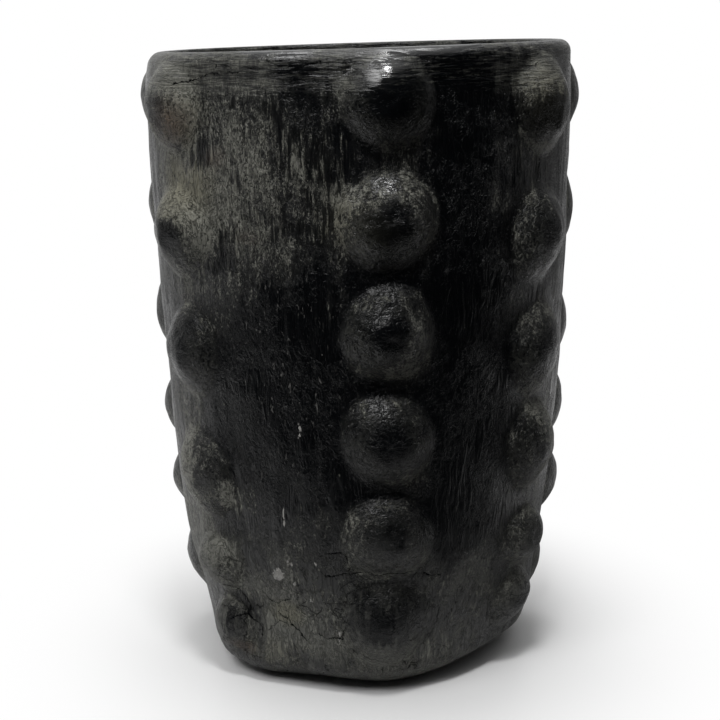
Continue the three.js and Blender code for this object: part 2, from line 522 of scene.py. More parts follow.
    def crack_share(self, spots: Spots) -> Array:
        """How deep in a crack each place lies, from 0 to 1."""
        side, opened = self.crack_sides(spots)
        return opened * np.exp(-((side / (1000 * self.crack_width)) ** 2))

    def chip_share(self, spots: Spots) -> Array:
        """Finds how far inside a chip each place lies.

        Args:
            spots: The places.

        Returns:
            About 1 at a chip's middle and below 0 outside.
        """
        share = np.full_like(spots.azimuth, -1.0)
        for chip in self.chips:
            around, up = self.form.offsets((chip.azimuth, chip.level), spots)
            distance = np.hypot(around / chip.half_width, up / chip.half_height)
            share = np.maximum(share, chip.strength * (self.chip_edge - distance))
        return share


@dataclass
class ClaySkin:
    """Places points on the finished surface and says what the clay is like there."""

    form: VesselForm
    tooling: Tooling
    recess: Point = (0.80, 0.92)
    ragged: HandNoise = HandNoise(44, 22, 31)
    raggedness: float = 0.25
    tint_edge: Point = (0.30, 1.35)
    comb_sweep: float = 0.42
    far_off: float = 2.0
    # The rows at azimuth -72 to -58 and at 62 lie where the camera sees the clay at a grazing angle, near its
    # left and right outline: partly pale clay, partly a painted reflection of the bright floor and room.
    pale: tuple[Tint, ...] = tints(
        (-51, 0.381, 9, 0.022, 1.3), (-46, 0.372, 10, 0.022, 0.45), (-55, 0.43, 14, 0.03, 0.4),
        (-40, 0.155, 5, 0.015, 0.5), (62, 0.085, 10, 0.018, 0.6), (13, 0.27, 7, 0.03, 0.45),
        (12, 0.355, 7, 0.02, 0.4), (30, 0.09, 16, 0.03, 0.35), (-42, 0.4, 26, 0.08, 0.46),
        (-26, 0.372, 20, 0.07, 0.42), (62, 0.182, 9, 0.024, 1), (-14, 0.045, 16, 0.02, 0.35),
        (2, 0.38, 13, 0.011, 0.85), (-8, 0.36, 7, 0.02, 0.12), (-40, 0.462, 26, 0.016, 0.35),
        (-58, 0.3, 12, 0.12, 0.35), (-60, 0.15, 12, 0.1, 0.55), (62, 0.2, 12, 0.12, 0.35),
        (-30, 0.06, 24, 0.05, 0.75), (-52, 0.11, 14, 0.06, 0.6), (16, 0.03, 26, 0.03, 0.6),
        (-58, 0.165, 10, 0.04, 0.75), (-72, 0.1, 12, 0.04, 1.2), (-29, 0.045, 10, 0.018, 0.55),
        (49, 0.448, 10, 0.016, 0.85), (57, 0.402, 7, 0.03, 0.3), (-28, 0.062, 10, 0.024, 0.35),
    )
    # The rows at azimuth -64, 62 and 72 lie near the left and right outline: partly smoked clay, partly a
    # painted dark reflection.
    black: tuple[Tint, ...] = tints(
        (26, 0.34, 11, 0.13, 1), (27, 0.2, 13, 0.095, 1.2), (28, 0.16, 12, 0.045, 0.6),
        (-16, 0.275, 20, 0.05, 0.45), (-10, 0.2, 20, 0.06, 0.45), (-14, 0.432, 8, 0.03, 0.12),
        (-12, 0.33, 6, 0.03, 0.45), (6, 0.322, 12, 0.008, 0.9), (6, 0.246, 12, 0.008, 0.7),
        (6, 0.17, 12, 0.008, 0.55), (7, 0.438, 10, 0.024, 0.9), (53, 0.424, 9, 0.014, 1.1),
        (24, 0.45, 13, 0.022, 0.8), (-44, 0.245, 12, 0.035, 0.5), (-53, 0.35, 8, 0.013, 1),
        (-49, 0.292, 7, 0.014, 0.7), (-46, 0.134, 9, 0.016, 1.1), (8, 0.066, 15, 0.026, 1.5),
        (-43, 0.056, 10, 0.024, 1.05), (-47, 0.205, 9, 0.016, 0.6), (40, 0.24, 9, 0.12, 0.6),
        (-27, 0.245, 18, 0.08, 0.7), (-64, 0.275, 14, 0.034, 0.85), (0, 0.085, 5, 0.012, 0.6),
        (0, 0.325, 9, 0.016, 0.5), (-40, 0.205, 8, 0.035, 0.5), (72, 0.39, 13, 0.07, 1.1),
        (-14, 0.205, 18, 0.055, 0.6), (-14, 0.462, 8, 0.007, 0.8), (-6, 0.134, 5, 0.02, 0.55),
        (62, 0.042, 12, 0.016, 0.8), (42, 0.432, 8, 0.02, 0.5), (-29, 0.461, 12, 0.004, 0.5),
    )
    earthy: tuple[Tint, ...] = tints(
        (-49, 0.43, 9, 0.03, 0.35), (-51, 0.38, 9, 0.024, 0.7), (-2, 0.36, 10, 0.02, 0.55),
        (-26, 0.066, 7, 0.012, 0.8), (-34, 0.03, 14, 0.016, 0.35), (52, 0.42, 9, 0.03, 0.35),
        (50, 0.446, 9, 0.018, 0.5), (-48, 0.392, 10, 0.02, 0.4),
    )
    polished: tuple[Tint, ...] = tints(
        (6.5, 0.462, 5, 0.014, 1), (-2.5, 0.462, 3, 0.008, 0.7), (16, 0.451, 3, 0.008, 0.6),
        (6.5, 0.387, 4, 0.009, 0.9), (-1.5, 0.378, 3, 0.008, 0.6), (7, 0.43, 12, 0.02, 0.45),
        (6.5, 0.35, 10, 0.016, 0.45), (6.5, 0.283, 10, 0.014, 0.35), (-18, 0.4765, 11, 0.006, 1.6),
        (18, 0.4765, 12, 0.006, 1.6), (28, 0.4, 12, 0.09, 0.3),
    )
    # Where pale flecks show: partly pale specks in the clay, partly painted glints on the edges of the
    # relief.
    flecked: tuple[Tint, ...] = tints(
        (-18, 0.25, 16, 0.12, 0.8), (-36, 0.3, 14, 0.08, 0.5), (-20, 0.39, 12, 0.04, 0.6),
    )
    rusty: tuple[Tint, ...] = tints(
        (-50, 0.428, 6, 0.02, 1), (-44, 0.03, 5, 0.007, 0.9), (-38, 0.405, 4, 0.008, 0.45),
        (-30, 0.35, 4, 0.006, 0.3),
    )

    def outer(self, spots: Spots, with_boss_tops: bool) -> Array:
        """Finds how far the finished outer face stands out from the plain wall.

        Args:
            spots: The places.
            with_boss_tops: True on the bosses, False on the wall that they are seated on.

        Returns:
            Metres, outwards from the plain wall.
        """
        out = self.tooling.surface_marks(spots)
        uneven = 1 + self.tooling.boss_unevenness(spots)
        for boss, near in self.form.bosses_near(spots):
            share, _ = self.form.boss_polar(boss, spots[near])
            bump = self.form.bump(boss, share) * uneven[near]
            if not with_boss_tops:
                bump = bump * smooth_step(*self.recess, share)
            out[near] += bump
        return out - self.tooling.crack_depth * self.tooling.crack_share(spots)

    def tone(self, places: tuple[Tint, ...], spots: Spots) -> Array:
        """Adds up a set of soft-edged patches with ragged edges.

        Args:
            places: The patches.
            spots: The places.

        Returns:
            The sum of their amounts at each place.
        """
        ragged = self.raggedness * self.ragged.at(spots)
        total = np.zeros_like(spots.azimuth)
        for tint in places:
            across = turn_between(tint.azimuth, spots.azimuth) / tint.half_turn
            along = (spots.level - tint.level) / tint.half_level
            distance = np.sqrt(across**2 + along**2) + ragged
            total += tint.amount * (1 - smooth_step(*self.tint_edge, distance))
        return total

    def combing(self, spots: Spots) -> tuple[Array, Array]:
        """Finds each place's nearest boss, and a space in which patterns run round that boss.

        Args:
            spots: The places.

        Returns:
            Distance from the boss's centre as a share of its reach, and the space's x, y and z.
        """
        nearest = np.full_like(spots.azimuth, np.inf)
        comb = np.zeros((len(spots.azimuth), 3))
        for boss, near in self.form.bosses_near(spots):
            share, direction = self.form.boss_polar(boss, spots[near])
            closer = share < nearest[near]
            places = np.flatnonzero(near)[closer]
            nearest[places] = share[closer]
            sweep = self.comb_sweep * boss.reach
            comb[places, 0] = (share * boss.reach)[closer] + boss.seed
            comb[places, 1] = (sweep * np.cos(direction))[closer]
            comb[places, 2] = (sweep * np.sin(direction))[closer]
        return nearest, comb

    def dress(self, mesh: Mesh, spots: Spots, inside: Array | float = 0.0) -> None:
        """Stores the clay's tones on a mesh, one value a point.

        Args:
            mesh: The mesh to dress.
            spots: Where its points lie.
            inside: 1 for a point on the inner face and 0 for one on the outer face, which alone
                shows the bosses, the cracks and the chips.
        """
        names = ("pale", "black", "earthy", "polished", "flecked", "rusty")
        values = {name: self.tone(getattr(self, name), spots) for name in names}
        nearest, comb = self.combing(spots)
        side, opened = self.tooling.crack_sides(spots)
        values["boss_share"] = np.minimum(nearest + self.far_off * inside, self.far_off)
        values["crack_side"] = side
        values["crack_open"] = opened * (1 - inside)
        values["chip"] = self.tooling.chip_share(spots) - self.far_off * inside
        for name, value in values.items():
            attribute = mesh.attributes.new(name, "FLOAT", "POINT")
            attribute.data.foreach_set("value", value.astype(np.float32))
        attribute = mesh.attributes.new("comb", "FLOAT_VECTOR", "POINT")
        attribute.data.foreach_set("vector", comb.astype(np.float32).ravel())


def read_points(mesh: Mesh) -> Array:
    """Reads a mesh's points.

    Args:
        mesh: The mesh.

    Returns:
        Rows of x, y and z.
    """
    flat = np.empty(len(mesh.vertices) * 3)
    mesh.vertices.foreach_get("co", flat)
    return flat.reshape(-1, 3)


def write_points(mesh: Mesh, spots: Spots, radius: Array, form: VesselForm) -> None:
    """Moves a mesh's points to places on the vessel, lifted as the leaning rim lifts them.

    Args:
        mesh: The mesh.
        spots: Where its points lie.
        radius: Metres from the axis of each point.
        form: The vessel's shape.
    """
    level = spots.level + form.rise(spots)
    turn = np.radians(spots.azimuth)
    points = np.stack([radius * np.sin(turn), -radius * np.cos(turn), level], axis=1)
    mesh.vertices.foreach_set("co", points.ravel())
    mesh.update()


def finish_piece(piece: Object, nodes: tuple[str, ...], slot: Slot, clay: Material) -> None:
    """Gives a piece its finish, seats it on its body and hides the CAD nodes that it takes the place of.

    Args:
        piece: The finished shape.
        nodes: The CAD nodes that it takes the place of.
        slot: Its material slot; not used.
        clay: Its finish.
    """
    piece.data.materials.clear()
    piece.data.materials.append(clay)
    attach(piece, BODY)
    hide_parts(*nodes)
    LOG.info("%s: %d faces", piece.name, len(piece.data.polygons))


@dataclass
class BuiltRing:
    """A ring of the hand-built wall: a section swept round the axis and then pressed by hand."""

    skin: ClaySkin
    steps: int = 640
    fine: float = 0.0016
    coarse: float = 0.004
    scarf_points: int = 3
    smooth_below: float = 50
    weld: float = 1e-6
    floor_band: Point = (0.012, 0.03)

    def section(self) -> list[Point]:
        """The ring's closed section, which each kind of ring draws for itself."""
        raise NotImplementedError

    def face(self, start: float, end: float, spacing: float, depth: float = 0.0) -> list[Point]:
        """Draws a stretch of the wall's section.

        Args:
            start: Level of the first point.
            end: Level of the last point.
            spacing: Usual distance between points.
            depth: How far the stretch lies inside the outer face.

        Returns:
            Its (radius, level) points.
        """
        count = max(2, round(abs(end - start) / spacing) + 1)
        levels = [float(level) for level in np.linspace(start, end, count)]
        return [(self.skin.form.radius_at(level) - depth, level) for level in levels]

    def outer_face(self, start: float, end: float) -> list[Point]:
        """Section points up the outer face."""
        return self.face(start, end, self.fine)

    def inner_face(self, start: float, end: float) -> list[Point]:
        """Section points down the inner face."""
        return self.face(start, end, self.coarse, self.skin.form.wall)

    def between(self, start: Point, end: Point, count: int) -> list[Point]:
        """Points strictly between two section points."""
        shares = [step / (count + 1) for step in range(1, count + 1)]
        return [tuple(a + (b - a) * share for a, b in zip(start, end)) for share in shares]

    def arc(self, centre: Point, size: float, start: float, end: float, count: int) -> list[Point]:
        """Points of a round stretch of the section, angles in degrees."""
        angles = np.radians(np.linspace(start, end, count))
        return [(centre[0] + size * math.cos(a), centre[1] + size * math.sin(a)) for a in angles]

    def sweep(self, name: str, section: list[Point]) -> Object:
        """Sweeps a closed section round the vessel's axis.

        Args:
            name: Name of the new piece.
            section: (radius, level) points, outer face upwards first.

        Returns:
            The closed ring, with its faces pointing outwards.
        """
        bpy.ops.object.select_all(action="DESELECT")
        bpy.ops.mesh.primitive_circle_add(vertices=len(section), radius=0.1)
        ring = bpy.context.object
        ring.name = name
        ring.data.name = name
        for vertex, (radius, level) in zip(ring.data.vertices, section):
            vertex.co = (radius, 0.0, level)
        swept = ring.modifiers.new("swept", "SCREW")
        swept.axis = "Z"
        swept.angle = 2 * math.pi
        swept.steps = self.steps
        swept.render_steps = self.steps
        bpy.ops.object.modifier_apply(modifier=swept.name)
        bpy.ops.object.mode_set(mode="EDIT")
        bpy.ops.mesh.select_all(action="SELECT")
        bpy.ops.mesh.remove_doubles(threshold=self.weld)
        bpy.ops.mesh.delete_loose()
        bpy.ops.mesh.select_all(action="SELECT")
        bpy.ops.mesh.normals_make_consistent(inside=False)
        bpy.ops.object.mode_set(mode="OBJECT")
        bpy.ops.object.shade_smooth_by_angle(angle=math.radians(self.smooth_below))
        return ring

    def press(self, ring: Object) -> None:
        """Presses the swept ring into its hand-formed shape and dresses it.

        Args:
            ring: The plain ring.
        """
        form = self.skin.form
        points = read_points(ring.data)
        azimuth = np.degrees(np.arctan2(points[:, 0], -points[:, 1])) % 360.0
        radius = np.hypot(points[:, 0], points[:, 1])
        level = points[:, 2]
        spots = Spots(azimuth, level)
        wall = form.wall_radius(level)
        inside = np.clip((wall - radius) / form.wall, 0.0, 1.0)
        on_wall = smooth_step(*self.floor_band, level) * inside
        pressed = radius * (1 + form.hand_mark(spots) / wall)
        pressed += (1 - inside) * self.skin.outer(spots, with_boss_tops=False)
        pressed -= on_wall * self.skin.tooling.inner_marks(spots)
        write_points(ring.data, spots, pressed, form)
        self.skin.dress(ring.data, spots, on_wall)

    def make(self, node: str, slot: Slot, clays: dict[Slot, Material]) -> Object:
        """Makes the ring.

        Args:
            node: The CAD node that it stands for.
            slot: Its material slot.
            clays: The clay of each slot.

        Returns:
            The finished ring.
        """
        ring = self.sweep(f"vessel_{node}", self.section())
        self.press(ring)
        finish_piece(ring, (node,), slot, clays[slot])
        return ring


@dataclass
class BaseDish(BuiltRing):
    """The floor and the rounded foot, pressed as one dish."""

    foot_points: int = 18
    foot_crowding: float = 1.6
    corner_points: int = 12
    floor_points: int = 6

    def section(self) -> list[Point]:
        """Draws the section from the axis under the foot, up the outside and back inside.

        Returns:
            The closed section's points.
        """
        form = self.skin.form
        corner_level = form.floor + form.corner_round
        corner_radius = form.radius_at(corner_level) - form.wall - form.corner_round
        shares = np.linspace(0.0, 1.0, self.foot_points) ** self.foot_crowding
        foot = [(form.radius_at(form.foot_round * s), form.foot_round * float(s)) for s in shares]
        outer = self.outer_face(form.foot_round, form.dish_top)[1:]
        inner = self.inner_face(form.dish_top + form.scarf_rise, corner_level)
        corner = self.arc((corner_radius, corner_level), form.corner_round, 0, -90, self.corner_points)[1:]
        floor_middle = (0.0, form.floor)
        floor = self.between(corner[-1], floor_middle, self.floor_points)
        under = self.between((0.0, 0.0), foot[0], self.floor_points)
        scarf = self.between(outer[-1], inner[0], self.scarf_points)
        return [(0.0, 0.0), *under, *foot, *outer, *scarf, *inner, *corner, *floor, floor_middle]

    def build(self, clays: dict[Slot, Material]) -> Object:
        """Builds the dish."""
        return self.make("base_dish", Slot.ASHEN, clays)


@dataclass
class WallCourse(BuiltRing):
    """One course of the wall, bevelled where it laps over its neighbours."""

    number: int = 1

    def section(self) -> list[Point]:
        """Draws the section of the course, outer face first.

        Returns:
            The closed section's points.
        """
        form = self.skin.form
        bottom = form.dish_top + (self.number - 1) * form.course_height
        top = bottom + form.course_height
        outer = self.outer_face(bottom, top)
        inner = self.inner_face(top + form.scarf_rise, bottom + form.scarf_rise)
        upper_scarf = self.between(outer[-1], inner[0], self.scarf_points)
        lower_scarf = self.between(inner[-1], outer[0], self.scarf_points)
        return [*outer, *upper_scarf, *inner, *lower_scarf]

    def build(self, clays: dict[Slot, Material]) -> Object:
        """Builds the course."""
        return self.make(f"wall_course_{self.number}", Slot.GREY, clays)


@dataclass
class RimCoil(BuiltRing):
    """The last coil, rounded over into the lip."""

    outer_lip_points: int = 12
    inner_lip_points: int = 8

    def section(self) -> list[Point]:
        """Draws the section of the coil, outer face first.

        Returns:
            The closed section's points.
        """
        form = self.skin.form
        bottom = form.height - form.coil_height
        lip_inner = form.wall - form.lip_outer - form.lip_flat
        shoulder = form.height - form.lip_outer
        inner_shoulder = form.height - lip_inner
        outer_centre = form.radius_at(shoulder) - form.lip_outer
        inner_centre = form.radius_at(inner_shoulder) - form.wall + lip_inner
        outer = self.outer_face(bottom, shoulder)[:-1]
        lip = self.arc((outer_centre, shoulder), form.lip_outer, 0, 90, self.outer_lip_points)
        lip += self.arc((inner_centre, inner_shoulder), lip_inner, 90, 180, self.inner_lip_points)
        inner = self.inner_face(inner_shoulder, bottom + form.scarf_rise)[1:]
        return [*outer, *lip, *inner, *self.between(inner[-1], outer[0], self.scarf_points)]

    def build(self, clays: dict[Slot, Material]) -> Object:
        """Builds the coil."""
        return self.make("rim_coil", Slot.SMOKED, clays)


@dataclass
class BossMaker:
    """Makes the bosses: balls of clay flattened on the wall until their edges are feathered."""

    skin: ClaySkin
    segments: int = 96
    rings: int = 56
    seat_clearance: float = 0.00004
    edge_lift: float = 0.00007
    crown_lift: float = 0.00025
    feather_from: float = 0.75
    equator: float = 1e-6
    smoked_rows: str = "456"
    ball: Object | None = None

    def roll_ball(self) -> None:
        """Rolls the ball that every boss starts from, creased round its middle."""
        bpy.ops.object.select_all(action="DESELECT")
        bpy.ops.mesh.primitive_uv_sphere_add(segments=self.segments, ring_count=self.rings, radius=1.0)
        self.ball = bpy.context.object
        self.ball.name = "clay_ball"
        bpy.ops.object.shade_smooth()
        mesh = self.ball.data
        for edge in mesh.edges:
            if all(abs(mesh.vertices[end].co.z) < self.equator for end in edge.vertices):
                edge.use_edge_sharp = True

    def build(self, boss: Boss, clays: dict[Slot, Material]) -> Object:
        """Builds one boss.

        Args:
            boss: Its place and size.
            clays: The clay of each slot.

        Returns:
            The finished boss.
        """
        lump = self.ball.copy()
        lump.data = self.ball.data.copy()
        lump.name = f"vessel_{boss.node}"
        lump.data.name = lump.name
        bpy.context.scene.collection.objects.link(lump)
        self.flatten(lump, boss)
        slot = Slot.SMOKED if boss.node[-1] in self.smoked_rows else Slot.GREY
        finish_piece(lump, (boss.node,), slot, clays[slot])
        return lump

    def flatten(self, lump: Object, boss: Boss) -> None:
        """Presses the ball onto the curved wall: its upper half is the face, its lower half the seat.

        Args:
            lump: The ball.
            boss: Where it goes and how large it is.
        """
        form = self.skin.form
        points = read_points(lump.data)
        polar = np.arccos(np.clip(points[:, 2], -1.0, 1.0))
        share = np.minimum(polar, np.pi - polar) / (np.pi / 2)
        direction = np.arctan2(points[:, 1], points[:, 0])
        distance = form.boss_reach(boss, direction) * share
        azimuth = boss.azimuth + np.degrees(distance * np.cos(direction) / form.radius_at(boss.level))
        level = boss.level + distance * np.sin(direction)
        spots = Spots(azimuth % 360.0, level)
        wall = form.wall_radius(level) + form.hand_mark(spots)
        feathered = smooth_step(self.feather_from, 1.0, share)
        lift = self.edge_lift + (self.crown_lift - self.edge_lift) * (1 - feathered)
        face = wall + self.skin.outer(spots, with_boss_tops=True) + lift
        bed = wall + self.skin.outer(spots, with_boss_tops=False) + self.seat_clearance
        radius = np.where(points[:, 2] > -self.equator, face, bed)
        write_points(lump.data, spots, radius, form)
        self.skin.dress(lump.data, spots)

    def put_ball_away(self) -> None:
        """Removes the ball that the bosses were copied from."""
        mesh = self.ball.data
        bpy.data.objects.remove(self.ball)
        bpy.data.meshes.remove(mesh)


@dataclass(frozen=True)
class Pattern:
    """A noise pattern: its scale, detail, roughness and distortion, and the stretch of its space."""

    scale: float
    detail: float
    roughness: float
    distortion: float = 0.0
    stretch: Place | None = None


class Signal:
    """A value in a node tree, on which plain arithmetic adds Math nodes."""

    def __init__(self, graph: "Graph", socket: NodeSocket) -> None:
        """Keeps the socket and the graph that it belongs to."""
        self.graph = graph
        self.socket = socket

    def __add__(self, other: object) -> "Signal":
        """Adds a value."""
        return self.graph.math("ADD", self, other)

    def __sub__(self, other: object) -> "Signal":
        """Takes a value away."""
        return self.graph.math("SUBTRACT", self, other)

    def __rsub__(self, other: object) -> "Signal":
        """Takes this away from a value."""
        return self.graph.math("SUBTRACT", other, self)

    def __mul__(self, other: object) -> "Signal":
        """Multiplies by a value."""
        return self.graph.math("MULTIPLY", self, other)

    def __abs__(self) -> "Signal":
        """Drops the sign."""
        return self.graph.math("ABSOLUTE", self)

    def at_least(self, other: object) -> "Signal":
        """The larger of this and a value."""
        return self.graph.math("MAXIMUM", self, other)

    def at_most(self, other: object) -> "Signal":
        """The smaller of this and a value."""
        return self.graph.math("MINIMUM", self, other)


class Graph:
    """Adds nodes to a tree, one short call a node."""

    def __init__(self, tree: NodeTree) -> None:
        """Starts on an empty tree."""
        self.tree = tree
        tree.nodes.clear()

    def feed(self, socket: NodeSocket, value: object) -> None:
        """Links a signal to an input, or sets the input's own value.

        Args:
            socket: The input.
            value: A signal, a number or a colour.
        """
        if isinstance(value, Signal):
            self.tree.links.new(value.socket, socket)
        else:
            socket.default_value = value

    def add(self, kind: str, output: str | int = 0, inputs: dict | None = None, **settings: object) -> Signal:
        """Adds a node.

        Args:
            kind: Blender's name for it.
            output: The output to read.
            inputs: What to feed to its inputs, by name or number.
            **settings: Its properties.

        Returns:
            The chosen output.
        """
        node = self.tree.nodes.new(kind)
        for name, value in settings.items():
            setattr(node, name, value)
        for name, value in (inputs or {}).items():
            self.feed(node.inputs[name], value)
        return Signal(self, node.outputs[output])

    def math(self, operation: str, *values: object) -> Signal:
        """Works out a value with a Math node."""
        return self.add("ShaderNodeMath", inputs=dict(enumerate(values)), operation=operation)

    def ramp(self, value: Signal, low: float, high: float, start: float = 0.0, end: float = 1.0) -> Signal:
        """Maps a value from low..high to start..end, smoothly and clamped."""
        inputs = {"Value": value, "From Min": low, "From Max": high, "To Min": start, "To Max": end}
        return self.add("ShaderNodeMapRange", inputs=inputs, interpolation_type="SMOOTHSTEP")

    def mix(self, share: Signal, first: object, second: object, kind: str = "RGBA") -> Signal:
        """Mixes two colours, or two numbers where the kind is FLOAT."""
        return self.add("ShaderNodeMix", "Result", {"Factor": share, "A": first, "B": second}, data_type=kind)

    def blend(self, share: Signal, first: object, second: object) -> Signal:
        """Mixes two numbers."""
        return self.mix(share, first, second, "FLOAT")

    def noise(self, pattern: Pattern, space: Signal, output: str = "Fac") -> Signal:
        """Lays a noise pattern.

        Args:
            pattern: The pattern.
            space: The space that it lies in.
            output: Fac for one value, Color for three.

        Returns:
            The pattern's value.
        """
        if pattern.stretch:
            space = self.add("ShaderNodeMapping", 0, {"Vector": space, "Scale": pattern.stretch})
        inputs = {name.capitalize(): getattr(pattern, name) for name in NOISE_INPUTS}
        return self.add("ShaderNodeTexNoise", output, {"Vector": space, **inputs}, noise_dimensions="3D")

    def attribute(self, name: str, output: str = "Fac") -> Signal:
        """Reads a value that the piece carries."""
        return self.add("ShaderNodeAttribute", output, attribute_name=name)

    def part(self, vector: Signal, axis: str) -> Signal:
        """One axis of a vector."""
        return self.add("ShaderNodeSeparateXYZ", axis, {0: vector})

    def show(self, kind: str, surface: Signal) -> None:
        """Adds the tree's output node."""
        self.feed(self.tree.nodes.new(kind).inputs["Surface"], surface)


def grey(value: float) -> Colour:
    """An even grey."""
    return (value, value, value, 1.0)


@dataclass(frozen=True)
class SmokedClayFinish:
    """Burnished clay, smoked black at the top and ashen at the foot."""

    name: str
    soot: Colour = (0.0022, 0.0026, 0.0033, 1.0)
    dark: Colour = (0.0125, 0.0130, 0.0120, 1.0)
    worn: Colour = (0.264, 0.264, 0.226, 1.0)
    # A darker copy of the worn clay: partly darker tone, partly painted shade of the relief in the worn clay.
    worn_in_painted_shade: Colour = (0.086, 0.086, 0.073, 1.0)
    ash: Colour = (0.118, 0.119, 0.106, 1.0)
    earth: Colour = (0.215, 0.205, 0.145, 1.0)
    rust: Colour = (0.085, 0.040, 0.022, 1.0)
    chip: Colour = (0.42, 0.41, 0.39, 1.0)
    gloss: float = 0.26
    shine: float = 0.46
    matt: float = 0.50
    polish: float = 0.13
    polished_shine: float = 0.45
    bump_height: float = 0.0020
    crackle_shift: float = 0.010
    crackle_scale: float = 62.0
    rim_band: Point = (0.438, 0.458)
    foot_band: Point = (0.160, 0.075)
    crackle_band: Point = (0.140, 0.085)
    streaks: Pattern = Pattern(340, 4, 0.72, 0.6, (1, 1, 0.13))
    worms: Pattern = Pattern(420, 4, 0.66, 1.6, (1, 1, 0.50))
    level_strokes: Pattern = Pattern(560, 4, 0.68, 0.4, (0.12, 0.12, 1))
    hugging: Pattern = Pattern(480, 4, 0.68, 1.0)
    swell: Pattern = Pattern(175, 1.8, 0.5, 1.0, (1, 1, 0.20))
    curl: Pattern = Pattern(200, 1.8, 0.5, 2.2, (1, 1, 0.60))
    level_swell: Pattern = Pattern(260, 1.8, 0.5, 0.8, (0.14, 0.14, 1))
    arcs: Pattern = Pattern(240, 1.8, 0.5, 1.4)
    hollows: Pattern = Pattern(330, 2, 0.5, 0.8, (1, 1, 0.7))
    clouds: Pattern = Pattern(26, 4, 0.62, 0.4)
    bands: Pattern = Pattern(95, 3, 0.60, 0.6, (1, 1, 0.20))
    grain: Pattern = Pattern(900, 2, 0.6)
    flecks: Pattern = Pattern(430, 3, 0.60, 0.8, (1, 1, 0.28))
    shade: Pattern = Pattern(520, 3, 0.70, 0.8, (1, 1, 0.35))
    speckle: Pattern = Pattern(150, 5, 0.78, 0.8, (1, 1, 0.6))
    sooty: Pattern = Pattern(210, 3, 0.60, 0.5, (1, 1, 0.12))
    fine_wander: Pattern = Pattern(330, 4, 0.8)
    broad_wander: Pattern = Pattern(90, 2, 0.5)
    gaping: Pattern = Pattern(120, 2, 0.5)
    shaking: Pattern = Pattern(140, 3, 0.5)
    crackled: Pattern = Pattern(45, 3, 0.6)

    def build(self) -> Material:
        """Builds the node material.

        Returns:
            The clay.
        """
        material = bpy.data.materials.new(self.name)
        material.use_nodes = True
        ClayGraph(material.node_tree, self).lay_surface()
        return material


